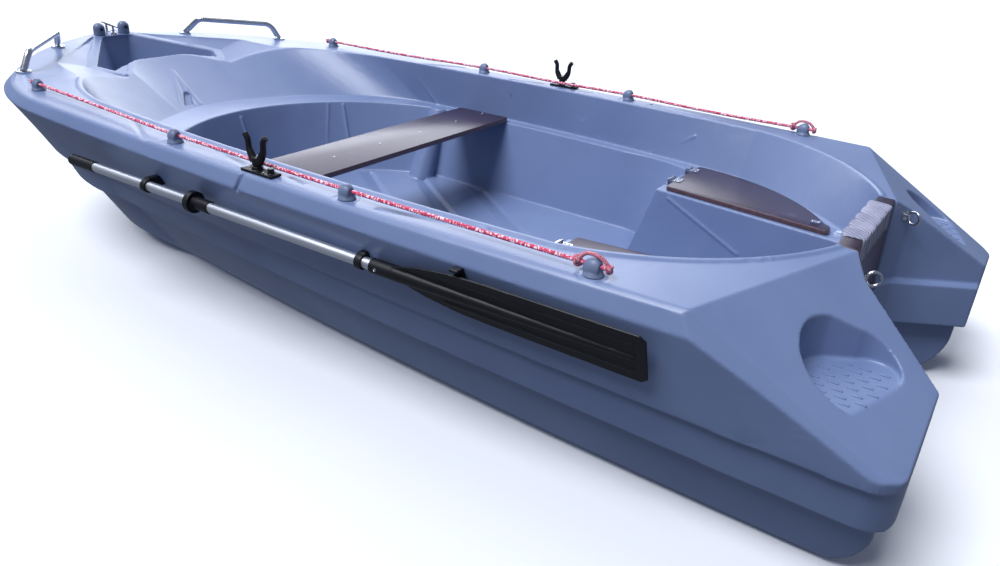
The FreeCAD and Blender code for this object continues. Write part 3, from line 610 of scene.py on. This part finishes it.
CLEAT_RISE = 34.0
HORN_REACH = 58
HORN_DROP = 5
HORN_LIFT = 6
HORN_RADII = (5.6, 3.4)
LEGS_X = (CLEAT_X - 24.0, CLEAT_X + 26.0)
LEG_SUNK = 4
LEG_RADII = (4.2, 5.5)
FOOT_RISE = 5
FOOT_SUNK = 8
FOOT_RADII = (11.0, 13.0)


def cast_cleat():
    """Horn cleat: a bar tapering to both horns on two legs with flat round feet."""
    shape = bmesh.new()
    seat = plateau_height(CLEAT_X)
    top = seat + CLEAT_RISE
    aft = Vector((CLEAT_X - HORN_REACH, 0, top - HORN_DROP))
    fore = Vector((CLEAT_X + HORN_REACH, 0, top + HORN_LIFT))
    for horn in (aft, fore):
        spindle(shape, (aft + fore) / 2, horn, *HORN_RADII)
    for x in LEGS_X:
        upright(shape, x, 0, (top, seat - LEG_SUNK), LEG_RADII)
        upright(shape, x, 0, (seat + FOOT_RISE, seat - FOOT_SUNK), FOOT_RADII)
    casting = whole(shape, "bow_cleat_casting")
    shown("bow_cleat_casting", casting, "stainless", stands_for=("bow_cleat",))


DRAIN = (-1424.0, 262.0)
DRAIN_BASE_HEIGHTS = (421, 414.5)
DRAIN_BASE_RADII = (14.0, 15.0)
DRAIN_CAP_HEIGHTS = (427, 420)
DRAIN_CAP_RADII = (9.0, 9.5)
DRAIN_RIBS = 12
DRAIN_RIB_OUT = 11.0
DRAIN_RIB_Z = 420
DRAIN_RIB_SIZE = (3.0, 3.0, 4.0)


def fit_drains():
    """Ribbed drain caps on the seat ledges beside the transom."""
    for side, sign in SIDES.items():
        shape = bmesh.new()
        x, y = DRAIN[0], sign * DRAIN[1]
        upright(shape, x, y, DRAIN_BASE_HEIGHTS, DRAIN_BASE_RADII, 32)
        upright(shape, x, y, DRAIN_CAP_HEIGHTS, DRAIN_CAP_RADII, 24)
        for number in range(DRAIN_RIBS):
            turn = math.radians(360 / DRAIN_RIBS * number)
            reach = Vector((math.cos(turn), math.sin(turn), 0))
            lay_dash(shape, Vector((x, y, DRAIN_RIB_Z)) + reach * DRAIN_RIB_OUT, DRAIN_RIB_SIZE)
        shown("drain_cap_" + side, whole(shape, "drain_cap_" + side), "clear_nylon")


def saw_boards():
    """Plywood with its corners taken off: thwart, transom board and seat lids."""
    broken_edges("thwart", "thwart_board", 2.0, "plywood")
    broken_edges("transom_board", "transom_plank", 2.5, "plywood")
    for side in SIDES:
        broken_edges("seat_lid_" + side, "seat_lid_board_" + side, 1.5, "plywood", "lid_" + side)


def line_route(side):
    """Control points of one lifeline, knot to knot, in metres."""
    points = []
    for (xa, ya), (xb, yb) in zip(EYES[:-1], EYES[1:]):
        xm = (xa + xb) / 2
        points.append((xa, ya, eye_seat(xa) + LINE_RISE))
        points.append((xm, (ya + yb) / 2 - LINE_BOW, eye_seat(xm) + LINE_RISE - LINE_SAG))
    fore = points[0]
    aft = (EYES[-1][0], EYES[-1][1], eye_seat(EYES[-1][0]) + LINE_RISE)
    points = [(fore[0] + LINE_TAIL, fore[1] - 2, fore[2])] + points
    points += [aft, (aft[0] - LINE_TAIL, aft[1] - 1, aft[2])]
    return [Vector((x, side * y, z)) * MM for x, y, z in points]


# spare end from its hitch over the aft eye to the last knot: ahead, outboard, above the eye's seat
OVER_EYE = ((37, 0, 24), (27, -1, 40), (12, 0, 45), (-6, 1, 44), (-22, 0, 38), (-34, -1, 24))


def over_last_eye(side):
    """Control points of the spare end, in metres."""
    x, y = EYES[-1]
    return [Vector((x + ahead, side * (y + out), eye_seat(x) + above)) * MM for ahead, out, above in OVER_EYE]


def rove(name, points, radius, closed=False):
    """Round line along control points, as a mesh with its UV along the line."""
    data = bpy.data.curves.new(name, "CURVE")
    data.dimensions = "3D"
    data.resolution_u = 24
    data.bevel_depth = radius * MM
    data.bevel_resolution = 3
    data.use_fill_caps = True
    spline = data.splines.new("NURBS")
    spline.points.add(len(points) - 1)
    for knot, place in zip(spline.points, points):
        knot.co = (place[0], place[1], place[2], 1.0)
    spline.order_u = 3
    spline.use_endpoint_u = not closed
    spline.use_cyclic_u = closed
    holder = bpy.data.objects.new(name, data)
    bpy.context.scene.collection.objects.link(holder)
    mesh = baked(holder)
    bpy.data.curves.remove(data)
    return mesh


KNOT_R = 12.0
HITCH_R = 17.0
KNOT_STRAND_R = 4.2
KNOT_POINTS = 18
KNOT_DEEP = 1.3
OVER_STRAND_R = LINE_R - 0.5
# the trefoil's own reach from its middle
TREFOIL_REACH = 3.0


def stopper_knot(name, centre, radius):
    """Overhand knot drawn up tight: a trefoil lying across the line."""
    turns = []
    for number in range(KNOT_POINTS):
        t = 2 * math.pi * number / KNOT_POINTS
        turns.append(Vector((-math.sin(3 * t) * KNOT_DEEP, math.sin(t) + 2 * math.sin(2 * t),
                             math.cos(t) - 2 * math.cos(2 * t))))
    scale = (radius - KNOT_STRAND_R) / TREFOIL_REACH
    return rove(name, [centre + turn * scale * MM for turn in turns], KNOT_STRAND_R, closed=True)


def rig_lifelines():
    """Lifeline on each side with a knot at both ends and a spare end over the aft eye."""
    for side, sign in SIDES.items():
        name = "lifeline_braid_" + side
        route = line_route(sign)
        spare = over_last_eye(sign)
        parts = [rove(name, route, LINE_R)]
        for place, radius in ((route[0], KNOT_R), (route[-1], KNOT_R), (spare[0], HITCH_R)):
            parts.append(stopper_knot(name + "_knot", place, radius))
        parts.append(rove(name + "_over", spare, OVER_STRAND_R))
        line = shown(name, joined(name, parts), "red_rope", stands_for=("lifeline_" + side,))
        for polygon in line.data.polygons:
            polygon.use_smooth = True


PAD_TURNS = 5
PAD_SLICES = PAD_TURNS * 8
PAD_ROWS = 5
# cuts across the pad's thickness, as shares of its width
PAD_CUTS = (0.06, 0.18, 0.5, 0.82, 0.94)
TURN_SLANT = 7.0
NOTCH_SHARPNESS = 12
NOTCH_SINK = PAD_THICK * 0.85
END_SINK = PAD_THICK * 0.6
CORNER_SHARE = 0.2
CORNER_SINK = 3.5


def pad_blank(aft, fore, low, high):
    """Saddle over the transom board, cut across into the slices that the turns are pressed from."""
    shape = bmesh.new()
    profile = ((aft, low), (BOARD_X[0], low), (BOARD_X[0], BOARD_TOP), (BOARD_X[1], BOARD_TOP),
               (BOARD_X[1], low), (fore, low), (fore, high), (aft, high))
    end = shape.faces.new([shape.verts.new((x, -PAD_HALF, z)) for x, z in profile])
    grown = bmesh.ops.extrude_face_region(shape, geom=[end])["geom"]
    far = [vert for vert in grown if isinstance(vert, bmesh.types.BMVert)]
    bmesh.ops.translate(shape, vec=(0, 2 * PAD_HALF, 0), verts=far)
    for number in range(1, PAD_SLICES):
        sliced(shape, (0, -PAD_HALF + 2 * PAD_HALF * number / PAD_SLICES, 0), (0, 1, 0))
    for number in range(1, PAD_ROWS):
        sliced(shape, (0, 0, low + (high - low) * number / PAD_ROWS), UP)
    for share in PAD_CUTS:
        sliced(shape, (aft + (fore - aft) * share, 0, 0), (1, 0, 0))
    return shape


def wind_pad():
    """Webbing wound over the transom board in five slanting turns, each swelling between its edges."""
    aft, fore = BOARD_X[0] - PAD_THICK, BOARD_X[1] + PAD_THICK
    low, high = BOARD_TOP - PAD_DEEP, BOARD_TOP + PAD_THICK
    middle = (aft + fore) / 2
    shape = pad_blank(aft, fore, low, high)
    for vert in shape.verts:
        off_middle = (vert.co.x - middle) / (fore - middle)
        turn = (vert.co.y + TURN_SLANT * off_middle + PAD_HALF) / (2 * PAD_HALF / PAD_TURNS) % 1.0
        notch = abs(math.cos(math.pi * turn)) ** NOTCH_SHARPNESS
        sink = END_SINK if abs(vert.co.y) > PAD_HALF - 0.5 else NOTCH_SINK * notch
        corner = max(0.0, abs(off_middle) - (1 - CORNER_SHARE)) / CORNER_SHARE
        if vert.co.z > BOARD_TOP + 1:
            vert.co.z -= sink + CORNER_SINK * corner
        if vert.co.x < BOARD_X[0] - 1:
            vert.co.x += sink
        if vert.co.x > BOARD_X[1] + 1:
            vert.co.x -= sink
    mesh = whole(shape, "transom_webbing_pad")
    pad = shown("transom_webbing_pad", mesh, "pad_rope", stands_for=("transom_pad",))
    for edge in pad.data.edges:
        edge.use_edge_sharp = False
    rounder = pad.modifiers.new("rounder", "SUBSURF")
    rounder.levels = 1
    rounder.render_levels = 1


# shape of a screw head, as shares of its radius or of its rise
HEAD_TAPER = 0.86
RIM_WIDE = 0.3
RIM_RISE = 0.18
RECESS_WALL = 0.16
RECESS_DEEP = 0.5


def screw_head(shape, place, up, radius, rise):
    """Pan head with a round recess, its foot at a place and its crown along up."""
    verts = bmesh.ops.create_cone(shape, cap_ends=True, segments=20, radius1=radius,
                                  radius2=radius * HEAD_TAPER, depth=rise)["verts"]
    faces = {face for vert in verts for face in vert.link_faces}
    crown = [face for face in faces if face.calc_center_median().z > rise * 0.49]
    rim = bmesh.ops.inset_region(shape, faces=crown, thickness=radius * RIM_WIDE, depth=rise * RIM_RISE)
    recess = bmesh.ops.inset_region(shape, faces=crown, thickness=radius * RECESS_WALL,
                                    depth=-rise * RECESS_DEEP)
    grown = {vert for face in rim["faces"] + recess["faces"] + crown for vert in face.verts}
    head = list(grown | set(verts))
    bmesh.ops.translate(shape, vec=(0, 0, rise / 2), verts=head)
    bmesh.ops.transform(shape, matrix=pointing(place, up), verts=head)


def fasten(name, places, up, radius, rise, body="boat"):
    """Screws or rivets, one piece for all that hold the same fitting."""
    shape = bmesh.new()
    for place in places:
        screw_head(shape, Vector(place), up, radius, rise)
    return shown(name, whole(shape, name), "stainless", body)


# how far a head's foot is sunk, so that it doesn't hover
HEAD_SUNK = 0.2
THWART_SCREWS_Y = (-630, -450, -225, 0, 225, 450, 630)
LEAF_SCREWS_BACK = (13, 26)
LEAF_SCREWS_ACROSS = (-12, 12)
CATCH_SCREWS_ALONG = (-9, 9)
PLATE_SCREWS = ((-32, 11), (-32, -11), (34, 0))
HANDLE_SCREWS_R = 19.0
FLANGE_THICK = 5.1
RIVET_PAST_SOCKET = 22
RIVET_OUT = 18.6


def screw_thwart():
    places = [(THWART_X, y, THWART_TOP - HEAD_SUNK) for y in THWART_SCREWS_Y]
    fasten("thwart_screws", places, UP, 4.0, 1.2)


def screw_lid(side, sign):
    """Screws of the hinge leaves and of the catch, which ride on the lid."""
    leaves = [(HINGE_X - back, sign * (y + across), LEAF_TOP - HEAD_SUNK)
              for y in HINGE_Y for back in LEAF_SCREWS_BACK for across in LEAF_SCREWS_ACROSS]
    fasten("hinge_screws_" + side, leaves, UP, 3.4, 1.6, "lid_" + side)
    catch = [(CATCH[0] + along, sign * CATCH[1], CATCH[2] - HEAD_SUNK) for along in CATCH_SCREWS_ALONG]
    fasten("catch_screws_" + side, catch, UP, 3.0, 1.5, "lid_" + side)


def screw_rowlock(side, sign):
    top = deck_height(LOCK[0]) + PLATE_TOP
    places = [(LOCK[0] + along, sign * (LOCK[1] + out), top) for along, out in PLATE_SCREWS]
    fasten("rowlock_screws_" + side, places, UP, 4.0, 2.0)


def screw_handle(side, sign):
    """Four screws round each foot of the bow handle, square to the climbing deck."""
    square = Vector((-(STEM_DECK_Z - deck_height(SHEER_START)) / SHEER_RUN, 0, 1)).normalized()
    places = []
    for x, y in HANDLE_FEET:
        for quarter in range(4):
            angle = math.radians(45 + 90 * quarter)
            along, out = math.cos(angle) * HANDLE_SCREWS_R, math.sin(angle) * HANDLE_SCREWS_R
            seat = Vector((x + along, sign * (y + out), sheer_height(x + along)))
            places.append(seat + square * FLANGE_THICK)
    fasten("handle_screws_" + side, places, square, 3.4, 1.6)


def rivet_oar(side, sign):
    """Rivet that holds the blade's socket to the shaft."""
    at = OAR_GRIP + (OAR_TIP - OAR_GRIP).normalized() * (SOCKET_AT + RIVET_PAST_SOCKET)
    outward = Vector((0, sign, 0))
    fasten("oar_rivets_" + side, [Vector((at.x, sign * at.y, at.z)) + outward * RIVET_OUT], outward, 4.5, 1.8)


def drive_screws():
    screw_thwart()
    for side, sign in SIDES.items():
        screw_lid(side, sign)
        screw_rowlock(side, sign)
        screw_handle(side, sign)
        rivet_oar(side, sign)


# step grip rows: place across, first and last distance from the stern
GRIP_ROWS = ((468, 92, 205), (492, 88, 226), (516, 88, 236), (540, 92, 242), (564, 96, 244),
             (588, 102, 240), (612, 108, 230), (634, 116, 216))
GRIP_SIZE = (22.0, 7.0, 3.6)
GRIP_SUNK = 1.0
GRIP_PITCH = 38
GRIP_STAGGER = 18


def raise_grips():
    """Dashes of moulded grip on the step treads, every other row staggered."""
    shape = bmesh.new()
    for sign in SIDES.values():
        for number, (across, first, last) in enumerate(GRIP_ROWS):
            aft = first + (GRIP_STAGGER if number % 2 else 0)
            while aft + GRIP_SIZE[0] <= last:
                middle = STERN_X + aft + GRIP_SIZE[0] / 2
                lay_dash(shape, Vector((middle, sign * across, TREAD_Z - GRIP_SUNK)), GRIP_SIZE)
                aft += GRIP_PITCH
    shown("step_grip_bars", whole(shape, "step_grip_bars"), "hull_plastic")


# metres
FLOOR_HALF = 60.0


def lay_floor():
    """Plain white floor, kept out of bounced and mirrored light so that the topsides stay deep in tone."""
    plane = bmesh.new()
    bmesh.ops.create_grid(plane, x_segments=1, y_segments=1, size=FLOOR_HALF)
    mesh = bpy.data.meshes.new("floor")
    plane.to_mesh(mesh)
    plane.free()
    mesh.materials.append(material_from("matt_white_studio_floor", studio_floor))
    floor = bpy.data.objects.new("floor", mesh)
    bpy.context.scene.collection.objects.link(floor)
    floor.visible_diffuse = False
    floor.visible_glossy = False


# metres: a broad sun over the starboard bow, a narrower one high to port, and a long strip of
# light beyond the starboard bow that shines on the boat and not on the floor
KEY_FROM = (1.9, -1.4, 1.9)
KEY_STRENGTH = 2.0
KEY_SPREAD = math.radians(70.0)
HIGH_FROM = (0.5, 1.25, 2.35)
HIGH_STRENGTH = 3.5
HIGH_SPREAD = math.radians(32.0)
SUN_COLOUR = "#f3f6ff"
STRIP_AT = (5.6, -4.6, 2.7)
STRIP_AIM = (5.6, 0.0, 0.6)
STRIP_SIZE = (9.5, 2.2)
STRIP_POWER = 150.0
STRIP_COLOUR = "#eef3ff"
WORLD_COLOUR = "#d5e0f8"
WORLD_STRENGTH = 0.26


def hang_lamp(name, kind, place, aim, colour, **settings):
    """Lamp at a place, turned towards a point."""
    data = bpy.data.lights.new(name, kind)
    data.color = linear(colour)[:3]
    for setting, value in settings.items():
        setattr(data, setting, value)
    lamp = bpy.data.objects.new(name, data)
    lamp.matrix_world = pointing(place, Vector(aim) - Vector(place), "-Z")
    bpy.context.scene.collection.objects.link(lamp)
    return lamp


def light_studio():
    """Soft studio light."""
    boat = (0, 0, 0)
    hang_lamp("key", "SUN", KEY_FROM, boat, SUN_COLOUR, energy=KEY_STRENGTH, angle=KEY_SPREAD)
    hang_lamp("high", "SUN", HIGH_FROM, boat, SUN_COLOUR, energy=HIGH_STRENGTH, angle=HIGH_SPREAD)
    strip = hang_lamp("strip", "AREA", STRIP_AT, STRIP_AIM, STRIP_COLOUR, shape="RECTANGLE",
                      size=STRIP_SIZE[0], size_y=STRIP_SIZE[1], energy=STRIP_POWER)
    shaded = bpy.data.collections.new("flagged_from_strip")
    shaded.objects.link(bpy.data.objects["floor"])
    shaded.collection_objects[0].light_linking.link_state = "EXCLUDE"
    strip.light_linking.receiver_collection = shaded
    world = bpy.data.worlds.new("surround")
    world.use_nodes = True
    ground = world.node_tree.nodes["Background"]
    ground.inputs["Color"].default_value = linear(WORLD_COLOUR)
    ground.inputs["Strength"].default_value = WORLD_STRENGTH
    bpy.context.scene.world = world
    bpy.context.scene.view_settings.view_transform = "Standard"


place_camera()
dress_nodes()
mould_hull()
mould_fittings()
cast_cleat()
fit_drains()
saw_boards()
rig_lifelines()
wind_pad()
drive_screws()
raise_grips()
lay_floor()
light_studio()
